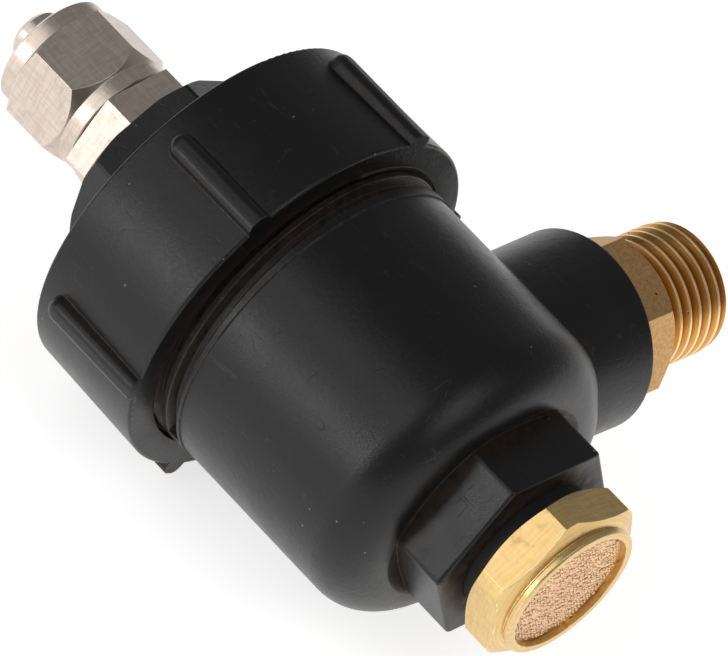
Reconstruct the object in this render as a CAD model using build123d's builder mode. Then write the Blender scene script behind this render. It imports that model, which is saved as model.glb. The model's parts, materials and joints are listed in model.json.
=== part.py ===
from build123d import *
import os
from math import cos, radians, sin

# Quick-exhaust valve with a sintered silencer. Millimetres, +Z up.
# The main axis runs along X: the tube fitting points to -X, the silencer to +X.
# The outlet axis is the Y axis, and the origin is at the shoulder where the outlet thread starts.

# --- Driving dimensions -------------------------------------------------------------------------

outlet_reach = 30.85          # from the main axis to the outlet thread's shoulder
boss_face = -5.95             # end face of the body's side boss, on the outlet axis

g14_r = 6.5785               # G1/4 major radius, half of 13.157
g14_pitch = 1.337
g14_depth = 0.856
g18_r = 4.864                # G1/8 major radius
thread_play = 0.03           # radial gap between fixed threaded stems and their holes

barrel_r = 16.45
barrel_top = -10.7           # where the plain barrel ends and the threaded neck begins
barrel_bottom = 12.9
neck_top = -24.4
neck_r = 16.6                # major radius of the neck thread
neck_pitch = 2.0
neck_depth = 0.9
neck_groove_mouth = 1.5
neck_groove_floor = 0.6
neck_play = 0.15             # flank and crest gap between the neck and union-nut threads
bottom_round = 5.0
boss_blend = 1.5
seat_pocket_r = 8.0
seat_pocket_end = 9.5
chamber_r = 13.0
chamber_floor = 6.0
side_boss_root_r = 9.6
side_boss_end_r = 9.87
boss_end = 18.55              # end face of the hexagonal exhaust boss
boss_flats = 19.4
boss_angle = 3.0
dish_floor = 12.0            # shallow dish in the bottom face, round the exhaust boss
dish_floor_r = 8.8
dish_rim_r = 11.4

union_top = -27.9
union_foot = -13.8
union_wall_inner = -26.6
union_top_r = 19.48
union_foot_r = 19.85
union_bore_r = 17.0
union_window_r = 12.2
rib_count = 6
rib_width = 3.4
rib_height = 1.05
rib_start = -26.3
rib_angle = 8.5
rib_draft = 12.0
union_edge_round = 0.35
ridge_turns = 4

cover_flats = 19.2
cover_end = -34.4
cover_angle = 38.0
cover_corner_r = 11.1
cover_chamfer = 0.7
cover_face_r = 9.9
cover_flange_r = 15.6
cover_flange_top = -25.9
spigot_r = 12.85
spigot_end = -13.5
inlet_seat_x = -8.9
inlet_bore_r = 4.2
o_ring_x = -19.0
o_ring_half = 0.95           # half the groove's width
o_ring_floor_r = 11.3
o_ring_wire_r = 0.75
strainer_x = -25.0
strainer_thick = 0.8
strainer_grid = 1.3

fitting_flats = 12.5
fitting_hex_end = -38.85
fitting_angle = 11.0
stub_r = 2.6                # plain end of the barb that the tube slides over
stub_tip = -52.55
stub_bore_r = 1.7
nut_flats = 12.7
nut_angle = 25.0
nut_rear = -39.05
nut_front = -49.9
nut_thread_r = 4.95
nut_play = 0.08
nut_hole_r = 4.1
nut_rear_collar_r = 6.2
nut_front_collar_r = 6.05
nut_hex_rear = -40.75
nut_hex_front = -48.0
nut_rear_chamfer = 1.35
nut_front_chamfer = 0.85
nut_corner_r = 7.42
fitting_thread_end = -46.2
fitting_seal_r = 5.8
fitting_recess = 0.8

adapter_flats = 14.7
adapter_angle = 43.3
adapter_chamfer_start = -1.15
adapter_corner_r = 8.45
adapter_face_r = 7.3
outlet_thread_length = 8.4
outlet_first_groove = 1.13   # centre of the first thread groove, from the shoulder
outlet_groove_count = 6
outlet_thread_chamfer = 0.3
g14_groove_mouth = 1.1
g14_groove_floor = 0.24
outlet_bore_r = 4.25
adapter_stem_end = -16.0
adapter_stem_r = 6.38
seal_recess = 1.0
outlet_seal_r = 7.2

silencer_flats = 16.4
silencer_angle = 48.0
silencer_rear = 19.95
silencer_front = 25.1
sinter_r = 6.65
sinter_face = 24.6
sinter_back = 21.8
silencer_rear_r = 7.9
silencer_corner_r = 9.1
silencer_shoulder = 23.5
silencer_groove = 24.25
rim_groove_r = 7.4
rim_r = 7.5
silencer_stem_end = 10.5
silencer_bore_r = 4.6
washer_r = 7.2

poppet_travel = 2.5
exhaust_seat_x = -1.0
seat_bore_r = 4.8
seat_nozzle_r = 6.8
seat_groove_x = 7.8
guide_start = 4.0
guide_end = 7.0
guide_hub_r = 2.1
exhaust_pad_face = exhaust_seat_x - poppet_travel
pad_back = exhaust_pad_face - 1.0
poppet_back = exhaust_pad_face - 0.1
poppet_shoulder = -6.2
poppet_front = inlet_seat_x + 1.2
inlet_pad_r = 5.7
exhaust_pad_r = 6.4
cup_inner_r = 8.0
cup_lip_r = 12.7
stem_r = 1.2
stem_play = 0.06
stem_end = 7.6
clip_x = exhaust_pad_face
clip_thick = 0.5
spring_r = 2.5
spring_wire_r = 0.3
spring_turns = 5

# --- Frames and shared shapes -------------------------------------------------------------------

section_plane = Plane(origin=(0, -outlet_reach, 0), x_dir=(1, 0, 0), z_dir=(0, 0, 1))
main_axis = Axis((0, -outlet_reach, 0), (1, 0, 0))
outlet_plane = Plane(origin=(0, 0, 0), x_dir=(0, 1, 0), z_dir=(1, 0, 0))
outlet_axis = Axis((0, 0, 0), (0, 1, 0))


def across(station):
    """Plane square to the main axis, facing +X, its own x towards the outlet."""
    return Plane(origin=(station, -outlet_reach, 0), x_dir=(0, 1, 0), z_dir=(1, 0, 0))


def across_outlet(station):
    """Plane square to the outlet axis, facing +Y, its own x up."""
    return Plane(origin=(0, station, 0), x_dir=(0, 0, 1), z_dir=(0, 1, 0))


def half_section(*points, plane=section_plane):
    """Closed face from (station, radius) points, on one side of the turning axis."""
    with BuildSketch(plane) as section:
        with BuildLine():
            Polyline(*points, close=True)
        make_face()
    return section.sketch


def ring_section(station, radius, wire_radius):
    """Round wire section of an O-ring at a station of the main axis."""
    with BuildSketch(section_plane) as section:
        with Locations((station, radius)):
            Circle(wire_radius)
    return section.sketch


def helical_bar(start, direction, radius, pitch, length, outer, inner):
    """Right-hand helical bar. outer and inner are (width, height above the radius) of its faces."""
    path = Helix(pitch=pitch, height=length, radius=radius, center=start, direction=direction)
    outer_width, outer_height = outer
    inner_width, inner_height = inner
    with BuildPart() as bar:
        with BuildSketch(Plane(origin=path @ 0, x_dir=direction, z_dir=path % 0)):
            with BuildLine():
                Polyline(
                    (-outer_width / 2, outer_height), (outer_width / 2, outer_height),
                    (inner_width / 2, inner_height), (-inner_width / 2, inner_height),
                    close=True,
                )
            make_face()
        sweep(path=path, is_frenet=True)
    return bar.part


def hexagon(flats, angle):
    """Regular hexagon with one corner at an angle from the plane's own x."""
    return RegularPolygon(flats / 2, 6, major_radius=False, rotation=angle)


def save(part, name):
    part.label = name
    export_step(part, f"parts/{name}.step")


os.makedirs("parts", exist_ok=True)

# --- Valve body ---------------------------------------------------------------------------------

with BuildPart() as valve_body:
    revolve(
        half_section(
            (neck_top, 0), (neck_top, neck_r - 0.6), (neck_top + 0.6, neck_r),
            (barrel_top, neck_r), (barrel_top, barrel_r),
            (barrel_bottom, barrel_r), (barrel_bottom, 0),
        ),
        axis=main_axis,
    )
    # Side boss, slightly drafted, blended into the barrel.
    with BuildSketch(across_outlet(-outlet_reach)):
        Circle(side_boss_root_r)
    with BuildSketch(across_outlet(boss_face)):
        Circle(side_boss_end_r)
    loft()
    fillet(valve_body.edges().filter_by(GeomType.BSPLINE), radius=boss_blend)
    foot_rim = valve_body.edges().filter_by(GeomType.CIRCLE).group_by(Axis.X)[-1]
    fillet(foot_rim, radius=bottom_round)
    # The bottom face is dished round the boss.
    revolve(
        half_section(
            (dish_floor, 0), (dish_floor, dish_floor_r), (barrel_bottom, dish_rim_r), (barrel_bottom, 0),
        ),
        axis=main_axis,
        mode=Mode.SUBTRACT,
    )
    # Hexagonal exhaust boss with softened corners and end edges.
    with BuildSketch(across(chamber_floor + 2)) as boss_outline:
        hexagon(boss_flats, boss_angle)
        fillet(boss_outline.vertices(), radius=0.7)
    extrude(amount=boss_end - chamber_floor - 2)
    fillet(valve_body.faces().sort_by(Axis.X)[-1].edges(), radius=0.35)
    # Chamber, seat pocket and silencer thread along the main axis.
    revolve(
        half_section(
            (neck_top, 0), (neck_top, chamber_r + 0.5), (neck_top + 0.8, chamber_r),
            (chamber_floor, chamber_r), (chamber_floor, seat_pocket_r),
            (seat_pocket_end, seat_pocket_r), (seat_pocket_end, g14_r + thread_play),
            (boss_end, g14_r + thread_play), (boss_end, 0),
        ),
        axis=main_axis,
        mode=Mode.SUBTRACT,
    )
    # Outlet passage, the adapter's thread hole and its seal recess.
    revolve(
        half_section(
            (-outlet_reach, 0), (-outlet_reach, outlet_bore_r),
            (adapter_stem_end, outlet_bore_r), (adapter_stem_end, adapter_stem_r + thread_play),
            (boss_face - seal_recess, adapter_stem_r + thread_play),
            (boss_face - seal_recess, outlet_seal_r),
            (boss_face, outlet_seal_r), (boss_face, 0),
            plane=outlet_plane,
        ),
        axis=outlet_axis,
        mode=Mode.SUBTRACT,
    )
    neck_groove = helical_bar(
        start=(neck_top - neck_pitch, -outlet_reach, 0), direction=(1, 0, 0), radius=neck_r,
        pitch=neck_pitch, length=barrel_top - neck_top + neck_pitch / 2,
        outer=(neck_groove_mouth, 0.1), inner=(neck_groove_floor, -neck_depth),
    )
    add(neck_groove, mode=Mode.SUBTRACT)
save(valve_body.part, "valve_body")

# --- Union nut and its slip ring ----------------------------------------------------------------

with BuildPart() as union_nut:
    revolve(
        half_section(
            (union_top, 0), (union_top, union_top_r), (union_foot, union_foot_r), (union_foot, 0),
        ),
        axis=main_axis,
    )
    fillet(union_nut.edges().filter_by(GeomType.CIRCLE), radius=union_edge_round)
    for rib in range(rib_count):
        with BuildPart(mode=Mode.PRIVATE) as grip_rib:
            bearing = radians(rib_angle + rib * 360 / rib_count)
            outward = (0, cos(bearing), sin(bearing))
            foot = Vector(0, -outlet_reach, 0) + Vector(outward) * (union_bore_r + 1)
            with BuildSketch(Plane(origin=foot, x_dir=(1, 0, 0), z_dir=outward)):
                with BuildLine():
                    Polyline(
                        (rib_start + rib_width / 2, -rib_width / 2), (union_foot + 1, -rib_width / 2),
                        (union_foot + 1, rib_width / 2), (rib_start + rib_width / 2, rib_width / 2),
                    )
                    ThreePointArc(
                        (rib_start + rib_width / 2, rib_width / 2), (rib_start, 0),
                        (rib_start + rib_width / 2, -rib_width / 2),
                    )
                make_face()
            extrude(amount=union_foot_r + rib_height - union_bore_r - 1, taper=rib_draft)
            crest = grip_rib.faces().filter_by(Plane(foot, z_dir=outward)).sort_by(
                Axis(foot, outward)
            )[-1]
            crest_rim = [edge for edge in crest.edges() if edge.center().X < union_foot]
            fillet(crest_rim, radius=rib_height - 0.1)
        add(grip_rib.part)
    revolve(
        half_section(
            (union_foot, 0), (union_foot, union_foot_r + 2), (union_foot + 2, union_foot_r + 2),
            (union_foot + 2, 0),
        ),
        axis=main_axis,
        mode=Mode.SUBTRACT,
    )
    revolve(
        half_section(
            (union_top, 0), (union_top, union_window_r), (union_wall_inner, union_window_r),
            (union_wall_inner, union_bore_r), (union_foot, union_bore_r), (union_foot, 0),
        ),
        axis=main_axis,
        mode=Mode.SUBTRACT,
    )
    # Its thread runs in the neck's groove, with play all round.
    flank_slope = (neck_groove_mouth - neck_groove_floor) / (neck_depth + 0.1)
    ridge_crest = -neck_depth + neck_play
    ridge_root = union_bore_r - neck_r + 0.2
    neck_ridge = helical_bar(
        start=(neck_top + neck_pitch, -outlet_reach, 0), direction=(1, 0, 0), radius=neck_r,
        pitch=neck_pitch, length=ridge_turns * neck_pitch,
        outer=(neck_groove_floor + flank_slope * (ridge_root + neck_depth) - 2 * neck_play, ridge_root),
        inner=(neck_groove_floor + flank_slope * neck_play - 2 * neck_play, ridge_crest),
    )
    add(neck_ridge)
save(union_nut.part, "union_nut")

with BuildPart() as slip_ring:
    revolve(
        half_section(
            (union_wall_inner, union_window_r + 0.3), (union_wall_inner, cover_flange_r),
            (cover_flange_top, cover_flange_r), (cover_flange_top, union_window_r + 0.3),
        ),
        axis=main_axis,
    )
save(slip_ring.part, "slip_ring")

# --- Inlet cover: flange, spigot with the inlet seat, and the hexagonal inlet boss --------------

with BuildPart() as inlet_cover:
    with BuildSketch(across(cover_flange_top)) as cover_outline:
        hexagon(cover_flats, cover_angle)
        fillet(cover_outline.vertices(), radius=0.4)
    extrude(amount=cover_end - cover_flange_top)
    revolve(
        half_section(
            (cover_flange_top, 0), (cover_flange_top, cover_corner_r),
            (cover_end + cover_chamfer, cover_corner_r), (cover_end, cover_face_r), (cover_end, 0),
        ),
        axis=main_axis,
        mode=Mode.INTERSECT,
    )
    revolve(
        half_section(
            (cover_flange_top, 0), (cover_flange_top, cover_flange_r), (neck_top, cover_flange_r),
            (neck_top, spigot_r), (o_ring_x - o_ring_half, spigot_r),
            (o_ring_x - o_ring_half, o_ring_floor_r), (o_ring_x + o_ring_half, o_ring_floor_r),
            (o_ring_x + o_ring_half, spigot_r), (spigot_end, spigot_r), (spigot_end, 8.0),
            (inlet_seat_x - 1.2, 7.0), (inlet_seat_x - 1.2, 6.0), (inlet_seat_x, 5.4), (inlet_seat_x, 0),
        ),
        axis=main_axis,
    )
    revolve(
        half_section(
            (cover_end, 0), (cover_end, fitting_seal_r), (cover_end + fitting_recess, fitting_seal_r),
            (cover_end + fitting_recess, g18_r + thread_play), (strainer_x, g18_r + thread_play),
            (strainer_x, inlet_bore_r), (inlet_seat_x, inlet_bore_r), (inlet_seat_x, 0),
        ),
        axis=main_axis,
        mode=Mode.SUBTRACT,
    )
save(inlet_cover.part, "inlet_cover")

with BuildPart() as cover_o_ring:
    revolve(ring_section(o_ring_x, (o_ring_floor_r + spigot_r) / 2, o_ring_wire_r), axis=main_axis)
save(cover_o_ring.part, "cover_o_ring")

with BuildPart() as inlet_strainer:
    with BuildSketch(across(strainer_x)):
        Circle(g18_r)
        with GridLocations(strainer_grid, strainer_grid, 5, 5):
            Circle(strainer_grid * 0.32, mode=Mode.SUBTRACT)
    extrude(amount=-strainer_thick)
save(inlet_strainer.part, "inlet_strainer")

# --- Push-on tube fitting -----------------------------------------------------------------------

with BuildPart() as fitting_body:
    with BuildSketch(across(cover_end)):
        hexagon(fitting_flats, fitting_angle)
    extrude(amount=fitting_hex_end - cover_end)
    revolve(
        half_section(
            (cover_end, 0), (cover_end, fitting_flats), (fitting_hex_end + 0.4, fitting_flats),
            (fitting_hex_end, fitting_flats / 2), (fitting_hex_end, 0),
        ),
        axis=main_axis,
        mode=Mode.INTERSECT,
    )
    revolve(
        half_section(
            (strainer_x - strainer_thick, 0), (strainer_x - strainer_thick, g18_r - 0.6),
            (strainer_x - strainer_thick - 0.6, g18_r), (cover_end, g18_r),
            (fitting_hex_end, nut_thread_r - 0.6), (fitting_hex_end - 1.0, nut_thread_r - 0.6),
            (fitting_hex_end - 1.3, nut_thread_r), (fitting_thread_end + 0.6, nut_thread_r),
            (fitting_thread_end, nut_thread_r - 0.6), (fitting_thread_end, 3.5),
            (fitting_thread_end - 2.2, stub_r), (stub_tip + 0.5, stub_r), (stub_tip, stub_r - 0.5),
            (stub_tip, 0),
        ),
        axis=main_axis,
    )
    fillet(fitting_body.edges().group_by(Axis.X)[0], radius=0.25)
    with BuildSketch(across(stub_tip - 1)):
        Circle(stub_bore_r)
    extrude(amount=strainer_x - stub_tip + 2, mode=Mode.SUBTRACT)
save(fitting_body.part, "fitting_body")

with BuildPart() as fitting_seal:
    revolve(
        half_section(
            (cover_end, g18_r + 0.05), (cover_end, fitting_seal_r - 0.05),
            (cover_end + fitting_recess, fitting_seal_r - 0.05), (cover_end + fitting_recess, g18_r + 0.05),
        ),
        axis=main_axis,
    )
save(fitting_seal.part, "fitting_seal")

with BuildPart() as tube_nut:
    with BuildSketch(across(nut_rear)):
        hexagon(nut_flats, nut_angle)
    extrude(amount=nut_front - nut_rear)
    revolve(
        half_section(
            (nut_rear, 0), (nut_rear, nut_rear_collar_r - 0.15), (nut_rear - 0.15, nut_rear_collar_r),
            (nut_hex_rear, nut_rear_collar_r), (nut_hex_rear - nut_rear_chamfer, nut_corner_r),
            (nut_hex_front + nut_front_chamfer, nut_corner_r), (nut_hex_front, nut_front_collar_r),
            (nut_front + 0.3, nut_front_collar_r), (nut_front, nut_front_collar_r - 0.4), (nut_front, 0),
        ),
        axis=main_axis,
        mode=Mode.INTERSECT,
    )
    revolve(
        half_section(
            (nut_rear, 0), (nut_rear, nut_thread_r + nut_play),
            (fitting_thread_end, nut_thread_r + nut_play), (fitting_thread_end - 1.2, nut_hole_r),
            (nut_front + 0.3, nut_hole_r), (nut_front, nut_hole_r + 0.3), (nut_front, 0),
        ),
        axis=main_axis,
        mode=Mode.SUBTRACT,
    )
save(tube_nut.part, "tube_nut")

# --- Outlet adapter -----------------------------------------------------------------------------

with BuildPart() as outlet_adapter:
    with BuildSketch(across_outlet(boss_face)):
        hexagon(adapter_flats, adapter_angle)
    extrude(amount=-boss_face)
    revolve(
        half_section(
            (boss_face, 0), (boss_face, adapter_flats), (adapter_chamfer_start, adapter_corner_r),
            (0, adapter_face_r), (0, 0),
            plane=outlet_plane,
        ),
        axis=outlet_axis,
        mode=Mode.INTERSECT,
    )
    revolve(
        half_section(
            (adapter_stem_end, 0), (adapter_stem_end, adapter_stem_r - 0.6),
            (adapter_stem_end + 0.6, adapter_stem_r), (0, adapter_stem_r), (0, g14_r),
            (outlet_thread_length - outlet_thread_chamfer, g14_r),
            (outlet_thread_length, g14_r - outlet_thread_chamfer),
            (outlet_thread_length, 0),
            plane=outlet_plane,
        ),
        axis=outlet_axis,
    )
    # The outlet thread is cut as rings at the thread's pitch.
    for groove in range(outlet_groove_count):
        middle = outlet_first_groove + groove * g14_pitch
        revolve(
            half_section(
                (middle - g14_groove_mouth / 2, g14_r), (middle - g14_groove_mouth / 2, g14_r + 1),
                (middle + g14_groove_mouth / 2, g14_r + 1), (middle + g14_groove_mouth / 2, g14_r),
                (middle + g14_groove_floor / 2, g14_r - g14_depth),
                (middle - g14_groove_floor / 2, g14_r - g14_depth),
                plane=outlet_plane,
            ),
            axis=outlet_axis,
            mode=Mode.SUBTRACT,
        )
    with BuildSketch(across_outlet(adapter_stem_end)):
        Circle(outlet_bore_r)
    extrude(amount=outlet_thread_length - adapter_stem_end, mode=Mode.SUBTRACT)
save(outlet_adapter.part, "outlet_adapter")

with BuildPart() as outlet_seal:
    revolve(
        half_section(
            (boss_face - seal_recess, adapter_stem_r + 0.05), (boss_face - seal_recess, outlet_seal_r - 0.05),
            (boss_face, outlet_seal_r - 0.05), (boss_face, adapter_stem_r + 0.05),
            plane=outlet_plane,
        ),
        axis=outlet_axis,
    )
save(outlet_seal.part, "outlet_seal")

# --- Silencer -----------------------------------------------------------------------------------

with BuildPart() as silencer_body:
    with BuildSketch(across(silencer_rear)):
        hexagon(silencer_flats, silencer_angle)
    extrude(amount=silencer_front - silencer_rear)
    revolve(
        half_section(
            (silencer_rear, 0), (silencer_rear, silencer_rear_r),
            (silencer_rear + 0.65, silencer_corner_r), (silencer_shoulder, silencer_corner_r),
            (silencer_shoulder + 0.4, silencer_flats / 2), (silencer_groove, rim_groove_r),
            (silencer_groove + 0.15, rim_groove_r), (silencer_groove + 0.25, rim_r),
            (silencer_front - 0.15, rim_r),
            (silencer_front, rim_r - 0.15), (silencer_front, 0),
        ),
        axis=main_axis,
        mode=Mode.INTERSECT,
    )
    revolve(
        half_section(
            (silencer_stem_end, 0), (silencer_stem_end, g14_r - 0.6), (silencer_stem_end + 0.6, g14_r),
            (silencer_rear, g14_r), (silencer_rear, 0),
        ),
        axis=main_axis,
    )
    revolve(
        half_section(
            (silencer_stem_end, 0), (silencer_stem_end, silencer_bore_r), (sinter_back, silencer_bore_r),
            (sinter_back, sinter_r), (silencer_front, sinter_r), (silencer_front, 0),
        ),
        axis=main_axis,
        mode=Mode.SUBTRACT,
    )
save(silencer_body.part, "silencer_body")

with BuildPart() as silencer_washer:
    revolve(
        half_section(
            (boss_end, g14_r + 0.05), (boss_end, washer_r), (silencer_rear, washer_r),
            (silencer_rear, g14_r + 0.05),
        ),
        axis=main_axis,
    )
save(silencer_washer.part, "silencer_washer")

with BuildPart() as sintered_disc:
    with BuildSketch(across(sinter_back)):
        Circle(sinter_r)
    extrude(amount=sinter_face - sinter_back)
save(sintered_disc.part, "sintered_disc")

# --- Exhaust seat, pressed into the chamber floor -----------------------------------------------

with BuildPart() as exhaust_seat:
    revolve(
        half_section(
            (exhaust_seat_x, seat_bore_r), (exhaust_seat_x, seat_bore_r + 0.8),
            (exhaust_seat_x + 1.2, seat_nozzle_r), (chamber_floor, seat_nozzle_r),
            (chamber_floor, seat_pocket_r), (seat_groove_x - 0.8, seat_pocket_r),
            (seat_groove_x - 0.8, seat_pocket_r - 1.1), (seat_groove_x + 0.8, seat_pocket_r - 1.1),
            (seat_groove_x + 0.8, seat_pocket_r), (seat_pocket_end, seat_pocket_r),
            (seat_pocket_end, seat_bore_r),
        ),
        axis=main_axis,
    )
    revolve(
        half_section(
            (guide_start, stem_r + stem_play), (guide_start, guide_hub_r),
            (guide_end, guide_hub_r), (guide_end, stem_r + stem_play),
        ),
        axis=main_axis,
    )
    with BuildSketch(across(guide_start)):
        with PolarLocations((guide_hub_r + seat_bore_r) / 2, 3):
            Rectangle(seat_bore_r - guide_hub_r + 0.4, 1.0)
    extrude(amount=guide_end - guide_start)
save(exhaust_seat.part, "exhaust_seat")

with BuildPart() as seat_o_ring:
    revolve(ring_section(seat_groove_x, seat_pocket_r - 0.55, 0.5), axis=main_axis)
save(seat_o_ring.part, "seat_o_ring")

# --- Poppet stack: slides between the inlet seat and the exhaust seat ---------------------------

with BuildPart() as poppet:
    revolve(
        half_section(
            (poppet_front, stem_r), (poppet_front, inlet_pad_r), (inlet_seat_x, inlet_pad_r),
            (inlet_seat_x, inlet_pad_r + 0.6), (poppet_front, cup_inner_r), (poppet_shoulder, cup_inner_r),
            (poppet_shoulder, cup_inner_r + 2.4), (poppet_back, cup_inner_r + 2.4),
            (poppet_back, exhaust_pad_r), (pad_back, exhaust_pad_r), (pad_back, stem_r),
        ),
        axis=main_axis,
    )
save(poppet.part, "poppet")

with BuildPart() as cup_seal:
    revolve(
        half_section(
            (poppet_front, cup_inner_r), (poppet_front, cup_inner_r + 1.6),
            (poppet_shoulder + 0.6, cup_lip_r), (poppet_shoulder + 1.1, cup_lip_r),
            (poppet_shoulder + 1.1, cup_lip_r - 0.6), (poppet_shoulder, cup_inner_r + 2.4),
            (poppet_shoulder, cup_inner_r),
        ),
        axis=main_axis,
    )
save(cup_seal.part, "cup_seal")

with BuildPart() as inlet_pad:
    revolve(
        half_section(
            (inlet_seat_x, stem_r), (inlet_seat_x, inlet_pad_r), (poppet_front, inlet_pad_r),
            (poppet_front, stem_r),
        ),
        axis=main_axis,
    )
save(inlet_pad.part, "inlet_pad")

with BuildPart() as exhaust_pad:
    revolve(
        half_section(
            (pad_back, stem_r), (pad_back, exhaust_pad_r), (exhaust_pad_face, exhaust_pad_r),
            (exhaust_pad_face, stem_r),
        ),
        axis=main_axis,
    )
save(exhaust_pad.part, "exhaust_pad")

with BuildPart() as poppet_stem:
    revolve(
        half_section(
            (inlet_seat_x - 0.8, 0), (inlet_seat_x - 0.8, 1.6), (inlet_seat_x - 0.4, 2.0),
            (inlet_seat_x, 2.0), (inlet_seat_x, stem_r), (clip_x, stem_r),
            (clip_x, stem_r - 0.3), (clip_x + clip_thick, stem_r - 0.3), (clip_x + clip_thick, stem_r),
            (stem_end - 0.4, stem_r), (stem_end, stem_r - 0.4), (stem_end, 0),
        ),
        axis=main_axis,
    )
save(poppet_stem.part, "poppet_stem")

with BuildPart() as stem_clip:
    with BuildSketch(across(clip_x)):
        Circle(stem_r + 1.0)
        Circle(stem_r - 0.3, mode=Mode.SUBTRACT)
        with Locations((0, stem_r + 0.4)):
            Rectangle(1.4, 2.6, mode=Mode.SUBTRACT)
    extrude(amount=clip_thick)
save(stem_clip.part, "stem_clip")

with BuildPart() as return_spring:
    spring_start = clip_x + clip_thick + spring_wire_r
    spring_path = Helix(
        pitch=(guide_start - spring_wire_r - spring_start) / spring_turns,
        height=guide_start - spring_wire_r - spring_start,
        radius=spring_r,
        center=(spring_start, -outlet_reach, 0),
        direction=(1, 0, 0),
    )
    with BuildSketch(Plane(origin=spring_path @ 0, z_dir=spring_path % 0)):
        Circle(spring_wire_r)
    sweep(path=spring_path, is_frenet=True)
save(return_spring.part, "return_spring")
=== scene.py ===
import json
import math
import random

import bmesh
import bpy
from mathutils import Matrix, Vector


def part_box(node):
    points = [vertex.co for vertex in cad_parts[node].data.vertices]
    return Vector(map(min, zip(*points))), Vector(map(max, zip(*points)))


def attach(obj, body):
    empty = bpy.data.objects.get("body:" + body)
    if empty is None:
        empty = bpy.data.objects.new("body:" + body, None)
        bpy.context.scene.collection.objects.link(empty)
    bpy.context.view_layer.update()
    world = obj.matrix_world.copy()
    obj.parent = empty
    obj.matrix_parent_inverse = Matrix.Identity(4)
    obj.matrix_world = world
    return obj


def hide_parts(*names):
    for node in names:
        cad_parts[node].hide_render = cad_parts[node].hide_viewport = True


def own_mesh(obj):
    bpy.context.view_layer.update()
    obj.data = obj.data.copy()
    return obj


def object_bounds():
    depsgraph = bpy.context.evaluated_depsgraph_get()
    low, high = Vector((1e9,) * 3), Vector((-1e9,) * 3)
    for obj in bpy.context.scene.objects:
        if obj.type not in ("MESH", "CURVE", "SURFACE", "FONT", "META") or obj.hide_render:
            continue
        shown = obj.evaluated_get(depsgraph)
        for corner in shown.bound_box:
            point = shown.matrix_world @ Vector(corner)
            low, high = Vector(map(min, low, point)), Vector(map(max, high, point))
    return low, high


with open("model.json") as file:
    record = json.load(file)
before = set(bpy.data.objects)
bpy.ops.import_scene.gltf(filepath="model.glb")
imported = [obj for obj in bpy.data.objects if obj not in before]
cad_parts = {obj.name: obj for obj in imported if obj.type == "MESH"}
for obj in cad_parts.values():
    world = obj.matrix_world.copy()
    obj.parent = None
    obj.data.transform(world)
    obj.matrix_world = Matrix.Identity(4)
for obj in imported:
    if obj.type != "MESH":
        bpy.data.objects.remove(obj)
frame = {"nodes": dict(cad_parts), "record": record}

cad_low, cad_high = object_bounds()
nodes = frame["nodes"]

# Metres throughout. X runs along the main axis towards the silencer, Y along the outlet axis.
MM = 0.001
AXIS_Y = sum(corner[1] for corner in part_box("tube_nut")) / 2
CENTRE = (cad_low + cad_high) / 2

SEED = 7
SENSOR_WIDTH = 36.0
LENS = 470.6
FLOOR_HALF = 3.0              # metres
GRAIN_SPACING = 0.40 * MM     # between the middles of neighbouring bronze grains
GRAIN_STANDOFF = 0.10 * MM    # how far the grains' face lies behind the disc's CAD face
PLUG_DROP = 0.12 * MM         # how far the plug behind the grains lies below their face
PLUG_SIDES = 96


# --- Camera, lights and floor ---------------------------------------------------------------------

def looking(azimuth, elevation):
    """Unit vector towards a place seen at that azimuth (0 is -Y, 90 is +X) and elevation, in degrees."""
    a, e = math.radians(azimuth), math.radians(elevation)
    return Vector((math.sin(a) * math.cos(e), -math.cos(a) * math.cos(e), math.sin(e)))


def stand(data, name, target, azimuth, elevation, distance, roll=0.0):
    """Object looking at target from that direction and distance, rolled about its line of sight."""
    toward = looking(azimuth, elevation)
    obj = bpy.data.objects.new(name, data)
    bpy.context.scene.collection.objects.link(obj)
    turn = toward.to_track_quat("Z", "Y").to_matrix().to_4x4()
    spin = Matrix.Rotation(math.radians(roll), 4, "Z")
    obj.matrix_world = Matrix.Translation(target + toward * distance) @ turn @ spin
    return obj


def add_camera():
    data = bpy.data.cameras.new("camera")
    data.sensor_width = SENSOR_WIDTH
    data.lens = LENS
    target = Vector((-6.52 * MM, AXIS_Y + 0.28 * MM, 4.07 * MM))
    camera = stand(data, "camera", target, 28.98, 39.9, 0.8725, roll=26.6)
    bpy.context.scene.camera = camera


def add_softbox(name, azimuth, elevation, distance, width, height, radiance, roll=0.0):
    """Rectangular area light of an even radiance, aimed at the middle of the object."""
    data = bpy.data.lights.new(name, "AREA")
    data.shape = "RECTANGLE"
    data.size = width
    data.size_y = height
    data.energy = radiance * math.pi * width * height
    stand(data, name, CENTRE, azimuth, elevation, distance, roll)


def add_floor():
    level = cad_low[2]
    mesh = bpy.data.meshes.new("floor")
    corners = [(x * FLOOR_HALF, y * FLOOR_HALF, level) for x, y in ((-1, -1), (1, -1), (1, 1), (-1, 1))]
    mesh.from_pydata(corners, [], [(0, 1, 2, 3)])
    floor = bpy.data.objects.new("floor", mesh)
    bpy.context.scene.collection.objects.link(floor)
    material = bpy.data.materials.new("floor_paper")
    material.use_nodes = True
    paper = material.node_tree.nodes["Principled BSDF"]
    paper.inputs["Base Color"].default_value = (0.9, 0.9, 0.9, 1)
    paper.inputs["Roughness"].default_value = 0.9
    paper.inputs["Emission Color"].default_value = (1, 1, 1, 1)
    paper.inputs["Emission Strength"].default_value = 0.72
    mesh.materials.append(material)


def add_world(strength):
    world = bpy.data.worlds.new("studio")
    world.use_nodes = True
    background = world.node_tree.nodes["Background"]
    background.inputs["Color"].default_value = (1, 1, 1, 1)
    background.inputs["Strength"].default_value = strength
    bpy.context.scene.world = world


# --- Shader building ------------------------------------------------------------------------------

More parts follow.
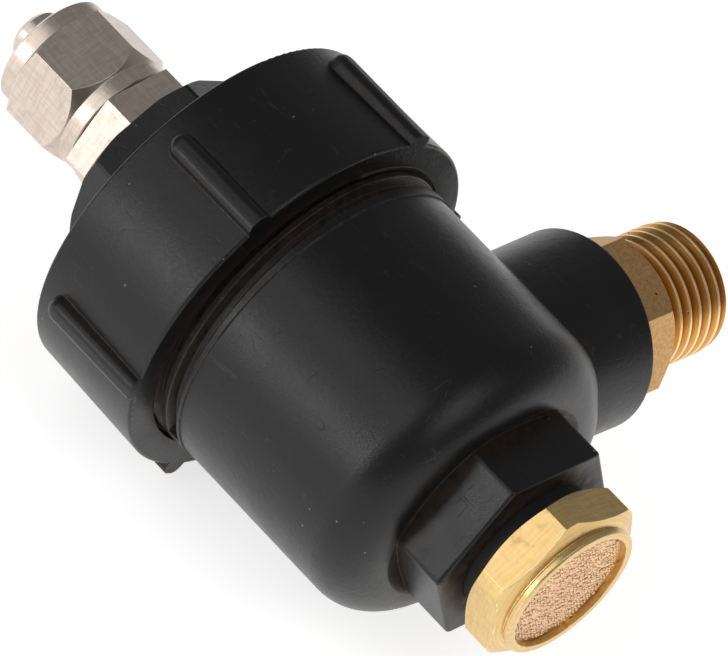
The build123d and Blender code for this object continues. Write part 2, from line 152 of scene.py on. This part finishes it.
class Shader:
    """One material's node tree. Each method adds a node and returns its output socket."""

    def __init__(self, name):
        self.material = bpy.data.materials.new(name)
        self.material.use_nodes = True
        self.tree = self.material.node_tree
        self.surface = self.tree.nodes["Principled BSDF"]
        place = self.add("ShaderNodeTexCoord").outputs["Object"]
        self.place = self.vector("SCALE", place, scale=1 / MM)   # in millimetres

    def add(self, kind, **settings):
        node = self.tree.nodes.new(kind)
        for key, value in settings.items():
            setattr(node, key, value)
        return node

    def feed(self, socket, value):
        if isinstance(value, bpy.types.NodeSocket):
            self.tree.links.new(value, socket)
        else:
            socket.default_value = value

    def math(self, operation, a, b=0.0, c=0.0, clamp=False):
        node = self.add("ShaderNodeMath", operation=operation, use_clamp=clamp)
        for socket, value in zip(node.inputs, (a, b, c)):
            self.feed(socket, value)
        return node.outputs[0]

    def vector(self, operation, a, b=(0.0, 0.0, 0.0), scale=1.0):
        node = self.add("ShaderNodeVectorMath", operation=operation)
        self.feed(node.inputs[0], a)
        self.feed(node.inputs[1], b)
        self.feed(node.inputs[3], scale)
        single = ("DOT_PRODUCT", "LENGTH", "DISTANCE")
        return node.outputs["Value" if operation in single else "Vector"]

    def split(self, vector):
        node = self.add("ShaderNodeSeparateXYZ")
        self.feed(node.inputs[0], vector)
        return node.outputs

    def join(self, x, y, z):
        node = self.add("ShaderNodeCombineXYZ")
        for socket, value in zip(node.inputs, (x, y, z)):
            self.feed(socket, value)
        return node.outputs[0]

    def noise(self, scale, detail=2.0, rough=0.5, at=None, warp=0.0):
        node = self.add("ShaderNodeTexNoise")
        self.feed(node.inputs["Vector"], at or self.place)
        self.feed(node.inputs["Scale"], scale)
        self.feed(node.inputs["Detail"], detail)
        self.feed(node.inputs["Roughness"], rough)
        self.feed(node.inputs["Distortion"], warp)
        return node.outputs["Fac"]

    def cells(self, scale, feature="F1", at=None):
        node = self.add("ShaderNodeTexVoronoi", feature=feature)
        self.feed(node.inputs["Vector"], at or self.place)
        self.feed(node.inputs["Scale"], scale)
        return node.outputs

    def ramp(self, value, low, high, to_low=0.0, to_high=1.0):
        """Maps low..high of a value smoothly to to_low..to_high, clamped."""
        node = self.add("ShaderNodeMapRange", interpolation_type="SMOOTHSTEP")
        for socket, number in zip(node.inputs, (value, low, high, to_low, to_high)):
            self.feed(socket, number)
        return node.outputs[0]

    def mix(self, factor, a, b):
        """Mix of two colours."""
        node = self.add("ShaderNodeMix", data_type="RGBA")
        self.feed(node.inputs[0], factor)
        for socket, colour in ((node.inputs[6], a), (node.inputs[7], b)):
            self.feed(socket, (*colour, 1.0) if isinstance(colour, tuple) else colour)
        return node.outputs[2]

    def specks(self, scale, share, size):
        """Mask of scattered round specks: share of the cells hold one, each of about that size in cells."""
        cell = self.cells(scale)
        chosen = self.math("LESS_THAN", self.split(cell["Color"])[0], share)
        radius = self.math("MULTIPLY", self.split(cell["Color"])[1], size)
        inside = self.math("SUBTRACT", radius, cell["Distance"])
        return self.math("MULTIPLY", chosen, self.ramp(inside, 0.0, size * 0.4))

    def scratches(self, scale, stretch, width, share):
        """Mask of fine scratches: where stretched noise crosses its middle, broken up by coarse noise."""
        along = self.vector("MULTIPLY", self.place, stretch)
        level = self.noise(scale, 0.0, 0.4, along, 0.4)
        ridge = self.math("ABSOLUTE", self.math("SUBTRACT", level, 0.5))
        line = self.ramp(ridge, 0.0, width, 1.0, 0.0)
        patches = self.ramp(self.noise(0.5, 4.0, 0.7), 1.0 - share, 1.12 - share)
        return self.math("MULTIPLY", line, patches)

    def edges(self, radius, low=0.02, high=0.12):
        """Mask of outer edges, where the rounded normal leaves the true one."""
        return self.ramp(self.edge_turn(radius), low, high)

    def edge_turn(self, radius):
        rounded = self.add("ShaderNodeBevel", samples=4)
        rounded.inputs["Radius"].default_value = radius * MM
        flat = self.add("ShaderNodeNewGeometry").outputs["True Normal"]
        return self.math("SUBTRACT", 1.0, self.vector("DOT_PRODUCT", rounded.outputs[0], flat))

    def crevices(self, reach):
        """Mask of corners and grooves, from how much is closed off within that many millimetres."""
        node = self.add("ShaderNodeAmbientOcclusion", samples=6)
        node.inputs["Distance"].default_value = reach * MM
        return self.math("SUBTRACT", 1.0, node.outputs["AO"])

    def radial(self):
        """Distance from the main axis, in millimetres."""
        parts = self.split(self.place)
        y = self.math("SUBTRACT", parts[1], AXIS_Y / MM)
        return self.vector("LENGTH", self.join(0.0, y, parts[2]))

    def normal(self):
        """The surface's own normal in object space, as three sockets."""
        return self.split(self.add("ShaderNodeTexCoord").outputs["Normal"])

    def finish(self, colour, roughness, height, depth, rounding=0.0, metallic=0.0, **fixed):
        """Sets the surface. height is in units of depth millimetres; fixed are the shader's own sockets."""
        self.feed(self.surface.inputs["Base Color"], colour)
        self.feed(self.surface.inputs["Roughness"], roughness)
        self.surface.inputs["Metallic"].default_value = metallic
        for key, value in fixed.items():
            self.surface.inputs[key.replace("_", " ")].default_value = value
        bump = self.add("ShaderNodeBump")
        bump.inputs["Strength"].default_value = 1.0
        bump.inputs["Distance"].default_value = depth * MM
        self.feed(bump.inputs["Height"], height)
        if rounding:
            rounded = self.add("ShaderNodeBevel", samples=6)
            rounded.inputs["Radius"].default_value = rounding * MM
            self.feed(bump.inputs["Normal"], rounded.outputs[0])
        self.feed(self.surface.inputs["Normal"], bump.outputs[0])
        return self.material


# --- Materials ------------------------------------------------------------------------------------

def black_plastic():
    """Satin charcoal nylon: faint flow marks, handling scratches, pale dust, brown grime in corners."""
    s = Shader("black_plastic")
    cloud = s.noise(0.22, 3.0, 0.6)
    grain = s.noise(1.8, 5.0, 0.75)
    scratch = s.scratches(0.55, (0.16, 1.0, 0.8), 0.008, 0.50)
    scratch_across = s.scratches(0.45, (1.0, 0.20, 0.35), 0.007, 0.48)
    dust = s.specks(1.0, 0.12, 0.14)
    grime_patch = s.ramp(s.noise(0.7, 4.0, 0.65), 0.35, 0.60)
    corner = s.ramp(s.crevices(3.5), 0.18, 0.55)
    crevice_tint = s.math("MULTIPLY", corner, s.math("MULTIPLY_ADD", grime_patch, 0.65, 0.35))
    worn = s.math("MULTIPLY", s.edges(0.32), s.ramp(s.noise(1.2, 4.0, 0.65), 0.40, 0.62))
    marks = s.math("MAXIMUM", scratch, scratch_across)
    colour = s.mix(cloud, (0.0035, 0.0035, 0.0040), (0.0085, 0.0080, 0.0082))
    colour = s.mix(s.math("MULTIPLY", marks, 0.30), colour, (0.060, 0.057, 0.055))
    colour = s.mix(s.math("MULTIPLY", worn, 0.7), colour, (0.075, 0.070, 0.066))
    colour = s.mix(s.math("MULTIPLY", crevice_tint, 0.85), colour, (0.042, 0.026, 0.016))
    colour = s.mix(s.math("MULTIPLY", dust, 0.7), colour, (0.30, 0.27, 0.24))
    rough = s.math("MULTIPLY_ADD", cloud, 0.18, 0.24)
    rough = s.math("MULTIPLY_ADD", crevice_tint, 0.30, rough)
    rough = s.math("MULTIPLY_ADD", marks, 0.12, rough)
    height = s.math("MULTIPLY_ADD", grain, 1.1, s.math("MULTIPLY", cloud, 1.6))
    height = s.math("MULTIPLY_ADD", marks, -0.45, height)
    height = s.math("MULTIPLY_ADD", worn, -0.4, height)
    height = s.math("MULTIPLY_ADD", dust, 0.6, height)
    return s.finish(colour, rough, height, 0.03, rounding=0.18, Specular_IOR_Level=0.36)


def turned_metal(name, pale, dark, stain, edge_highlight_tint, milled):
    """Turned and milled metal: rings where it was turned, crossed cutter marks on its flats, darker
    crevices, and a painted highlight on its outer edges.
    """
    s = Shader(name)
    cloud = s.noise(0.35, 4.0, 0.6)
    blotch = s.ramp(s.noise(0.8, 5.0, 0.65), 0.52, 0.80)
    facing = s.math("ABSOLUTE", s.normal()[0])
    flat = s.ramp(facing, 0.02, 0.10, 1.0, 0.0)
    x = s.split(s.place)[0]
    radial = s.radial()
    turning = s.math("MULTIPLY_ADD", radial, 5.5, s.math("MULTIPLY", x, 4.6))
    rings = s.noise(1.0, 2.0, 0.7, s.join(turning, 0.0, 0.0))
    cut_a = s.noise(3.6, 3.0, 0.7, s.vector("MULTIPLY", s.place, (1.0, 0.10, 0.10)))
    cut_b = s.noise(3.2, 3.0, 0.7, s.vector("MULTIPLY", s.place, (0.10, 1.0, 1.0)))
    cuts = s.math("MULTIPLY_ADD", cut_b, milled, cut_a)
    pits = s.specks(1.3, 0.16, 0.18)
    edge_breakup = s.ramp(s.noise(1.6, 4.0, 0.7), 0.42, 0.60)
    # Outer edges broken up by noise: smoother there like rubbed wear, and lightened in the colour as a
    # painted highlight.
    worn_edge_highlight = s.math("MULTIPLY", s.edges(0.26), edge_breakup)
    mean_cuts = s.math("MULTIPLY", cuts, 1.0 / (1.0 + milled))
    tone = s.math("MULTIPLY_ADD", s.math("SUBTRACT", mean_cuts, rings), flat, rings)
    colour = s.mix(cloud, dark, pale)
    colour = s.mix(s.math("MULTIPLY", blotch, 0.35), colour, stain)
    # Colour darkened in crevices, by how closed off they are within 1.6 mm.
    crevice_tint = s.math("MULTIPLY", s.ramp(s.crevices(1.6), 0.35, 0.85), 0.7)
    colour = s.mix(crevice_tint, colour, (0.10, 0.06, 0.03))
    colour = s.mix(s.ramp(tone, 0.38, 0.62, 0.34, 0.0), colour, stain)
    colour = s.mix(s.math("MULTIPLY", pits, 0.6), colour, stain)
    # Painted highlight, partly rubbed edge wear: outer edges lightened towards the edge-highlight tint.
    colour = s.mix(s.math("MULTIPLY", worn_edge_highlight, 0.8), colour, edge_highlight_tint)
    rough = s.math("MULTIPLY_ADD", blotch, 0.14, 0.24)
    rough = s.math("MULTIPLY_ADD", cuts, 0.10, rough)
    rough = s.math("MULTIPLY_ADD", worn_edge_highlight, -0.08, rough)
    on_flat = s.math("MULTIPLY", flat, cuts)
    off_flat = s.math("MULTIPLY", s.math("SUBTRACT", 1.0, flat), rings)
    height = s.math("MULTIPLY_ADD", on_flat, 1.1, s.math("MULTIPLY", off_flat, 1.4))
    height = s.math("MULTIPLY_ADD", pits, -0.8, height)
    return s.finish(colour, rough, height, 0.014, rounding=0.10, metallic=1.0)


def nickel_plate():
    return turned_metal(
        "nickel_plate", pale=(0.80, 0.69, 0.61), dark=(0.68, 0.58, 0.50),
        stain=(0.36, 0.27, 0.20), edge_highlight_tint=(0.96, 0.91, 0.86), milled=1.0,
    )


def turned_brass():
    return turned_metal(
        "turned_brass", pale=(0.88, 0.64, 0.29), dark=(0.76, 0.52, 0.21),
        stain=(0.50, 0.31, 0.12), edge_highlight_tint=(1.0, 0.90, 0.62), milled=0.5,
    )


def blasted_brass():
    """Sandblasted hexagon with dark pits, and a smoother, deeper yellow thread, with painted shade in its
    groove bottoms and painted highlights on its crests.
    """
    s = Shader("blasted_brass")
    place = s.split(s.place)
    thread = s.ramp(place[1], -0.02, 0.02)
    radius = s.vector("LENGTH", s.join(place[0], 0.0, place[2]))
    # Mask of the thread's outer crests, where a painted highlight goes.
    crest_highlight = s.math("MULTIPLY", thread, s.ramp(radius, 6.47, 6.55))
    cloud = s.noise(0.4, 4.0, 0.6)
    pits = s.specks(1.35, 0.38, 0.20)
    big_pits = s.specks(0.6, 0.30, 0.13)
    grit = s.noise(2.6, 5.0, 0.75)
    colour = s.mix(cloud, (0.64, 0.38, 0.15), (0.80, 0.50, 0.22))
    colour = s.mix(s.ramp(grit, 0.42, 0.58, 0.35, 0.0), colour, (0.30, 0.17, 0.07))
    deep = s.mix(cloud, (0.70, 0.36, 0.09), (0.86, 0.49, 0.15))
    # Painted shade: the thread's colour darkens towards its groove bottoms, going by distance from the
    # thread's axis.
    deep = s.mix(s.ramp(radius, 5.8, 6.45, 0.55, 0.0), deep, (0.22, 0.09, 0.03))
    colour = s.mix(thread, colour, deep)
    # Painted highlight: thread crests lightened to a pale cream.
    colour = s.mix(s.math("MULTIPLY", crest_highlight, 0.85), colour, (1.0, 0.80, 0.50))
    colour = s.mix(s.math("MULTIPLY", pits, 0.75), colour, (0.12, 0.055, 0.02))
    colour = s.mix(s.math("MULTIPLY", big_pits, 0.8), colour, (0.05, 0.02, 0.01))
    rough = s.math("MULTIPLY_ADD", thread, -0.18, 0.44)
    rough = s.math("MULTIPLY_ADD", cloud, 0.10, rough)
    grit_depth = s.math("MULTIPLY_ADD", thread, -0.75, 1.0)
    height = s.math("MULTIPLY", grit, grit_depth)
    height = s.math("MULTIPLY_ADD", pits, -0.8, height)
    height = s.math("MULTIPLY_ADD", big_pits, -2.5, height)
    return s.finish(colour, rough, height, 0.03, rounding=0.08, metallic=1.0)


def sintered_bronze():
    """Rounded bronze grains, each its own tint, with painted shade in the gaps between them."""
    s = Shader("sintered_bronze")
    tint = s.noise(2.6, 2.0, 0.7)
    gap_shade = s.ramp(s.crevices(0.35), 0.25, 0.85)
    colour = s.mix(tint, (0.86, 0.52, 0.29), (1.0, 0.74, 0.48))
    # Painted shade: colour darkened in the gaps between grains.
    colour = s.mix(s.math("MULTIPLY", gap_shade, 0.75), colour, (0.14, 0.06, 0.03))
    rough = s.math("MULTIPLY_ADD", s.noise(9.0, 2.0), 0.2, 0.22)
    height = s.noise(12.0, 3.0, 0.6)
    return s.finish(colour, rough, height, 0.02, metallic=1.0)


def rubber():
    s = Shader("black_rubber")
    cloud = s.noise(0.8, 3.0, 0.6)
    colour = s.mix(cloud, (0.008, 0.008, 0.008), (0.016, 0.015, 0.015))
    rough = s.math("MULTIPLY_ADD", cloud, 0.2, 0.45)
    return s.finish(colour, rough, s.noise(6.0, 3.0, 0.6), 0.02, rounding=0.08)


def white_nylon():
    s = Shader("white_nylon")
    cloud = s.noise(0.5, 3.0, 0.6)
    colour = s.mix(cloud, (0.62, 0.60, 0.54), (0.74, 0.72, 0.67))
    rough = s.math("MULTIPLY_ADD", cloud, 0.15, 0.35)
    return s.finish(colour, rough, s.noise(5.0, 3.0, 0.6), 0.015, rounding=0.1, Subsurface_Weight=0.1)


def bright_steel(name, tone, fine):
    s = Shader(name)
    streak = s.noise(fine, 3.0, 0.6, s.vector("MULTIPLY", s.place, (1.0, 0.2, 0.2)))
    colour = s.mix(streak, tuple(0.8 * c for c in tone), tone)
    rough = s.math("MULTIPLY_ADD", streak, 0.18, 0.18)
    return s.finish(colour, rough, streak, 0.008, rounding=0.04, metallic=1.0)


def build_materials():
    return {
        "black_plastic": black_plastic(),
        "nickel_plate": nickel_plate(),
        "blasted_brass": blasted_brass(),
        "turned_brass": turned_brass(),
        "sintered_bronze": sintered_bronze(),
        "black_rubber": rubber(),
        "white_nylon": white_nylon(),
        "spring_steel": bright_steel("spring_steel", (0.58, 0.58, 0.60), 12.0),
        "strainer_mesh": bright_steel("strainer_mesh", (0.48, 0.48, 0.47), 8.0),
    }


def paint_nodes(materials):
    """Every node that comes from the CAD gets the material of its record's slot."""
    for part in frame["record"]["subparts"]:
        mesh = nodes[part["node"]].data
        mesh.materials.clear()
        mesh.materials.append(materials[part["material_slot"]])


# --- Sintered disc --------------------------------------------------------------------------------

def grain_places(radius, spacing, draw):
    """Centres of grains packed in a disc on a loosened hexagonal grid."""
    places = []
    rows = int(radius / (spacing * math.sqrt(3) / 2)) + 1
    for row in range(-rows, rows + 1):
        for column in range(-rows - 1, rows + 2):
            y = (column + 0.5 * (row % 2)) * spacing + draw.uniform(-0.17, 0.17) * spacing
            z = row * spacing * math.sqrt(3) / 2 + draw.uniform(-0.17, 0.17) * spacing
            if math.hypot(y, z) < radius:
                places.append((y, z))
    return places


def unit_ball():
    """Points and triangles of a ball of radius one."""
    bm = bmesh.new()
    bmesh.ops.create_icosphere(bm, subdivisions=2, radius=1.0)
    points = [vert.co.copy() for vert in bm.verts]
    faces = [tuple(vert.index for vert in face.verts) for face in bm.faces]
    bm.free()
    return points, faces


def build_sintered_disc(materials):
    """Disc of fused bronze grains: a plain plug behind, with rounded grains standing out of its face."""
    low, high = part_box("sintered_disc")
    face = high[0] - GRAIN_STANDOFF
    radius = (high[1] - low[1]) / 2
    draw = random.Random(SEED)
    spacing = GRAIN_SPACING
    sides = PLUG_SIDES
    points, faces = [], []
    for x in (low[0], face - PLUG_DROP):
        for i in range(sides):
            angle = 2 * math.pi * i / sides
            points.append((x, AXIS_Y + radius * math.cos(angle), radius * math.sin(angle)))
    faces.append(tuple(reversed(range(sides))))
    faces.append(tuple(range(sides, 2 * sides)))
    for i in range(sides):
        j = (i + 1) % sides
        faces.append((i, j, sides + j, sides + i))
    ball_points, ball_faces = unit_ball()
    for y, z in grain_places(radius - spacing * 0.75, spacing, draw):
        size = spacing * draw.uniform(0.44, 0.58)
        middle = Vector((face - size + draw.uniform(-0.07, 0.09) * MM, AXIS_Y + y, z))
        squash = Vector((1.0, draw.uniform(0.85, 1.1), draw.uniform(0.85, 1.1)))
        first = len(points)
        points += [middle + size * point * squash for point in ball_points]
        faces += [tuple(first + corner for corner in face_corners) for face_corners in ball_faces]
    mesh = bpy.data.meshes.new("sintered_grains")
    mesh.from_pydata(points, [], faces)
    mesh.polygons.foreach_set("use_smooth", [len(p.vertices) == 3 for p in mesh.polygons])
    grains = bpy.data.objects.new("sintered_grains", mesh)
    bpy.context.scene.collection.objects.link(grains)
    mesh.materials.append(materials["sintered_bronze"])
    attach(grains, "housing")
    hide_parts("sintered_disc")


# --- Return spring --------------------------------------------------------------------------------

def build_return_spring(materials):
    """The spring's coils: a copy of the CAD spring in spring steel, carried with the housing."""
    node = nodes["return_spring"]
    coils = bpy.data.objects.new("return_spring_coils", node.data.copy())
    bpy.context.scene.collection.objects.link(coils)
    coils.matrix_world = node.matrix_world
    coils.data.materials.clear()
    coils.data.materials.append(materials["spring_steel"])
    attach(coils, "housing")
    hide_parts("return_spring")
    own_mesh(coils)


# --- The scene ------------------------------------------------------------------------------------

add_camera()
bpy.context.scene.view_settings.view_transform = "Standard"
add_world(0.24)
add_softbox("key", azimuth=-22, elevation=9, distance=0.75, width=0.14, height=0.22, radiance=9.0)
add_softbox("front", azimuth=-24, elevation=40, distance=1.0, width=0.6, height=0.6, radiance=1.25)
add_softbox("side", azimuth=75, elevation=50, distance=0.9, width=0.5, height=0.5, radiance=1.6)
add_floor()

materials = build_materials()
paint_nodes(materials)
build_sintered_disc(materials)
build_return_spring(materials)
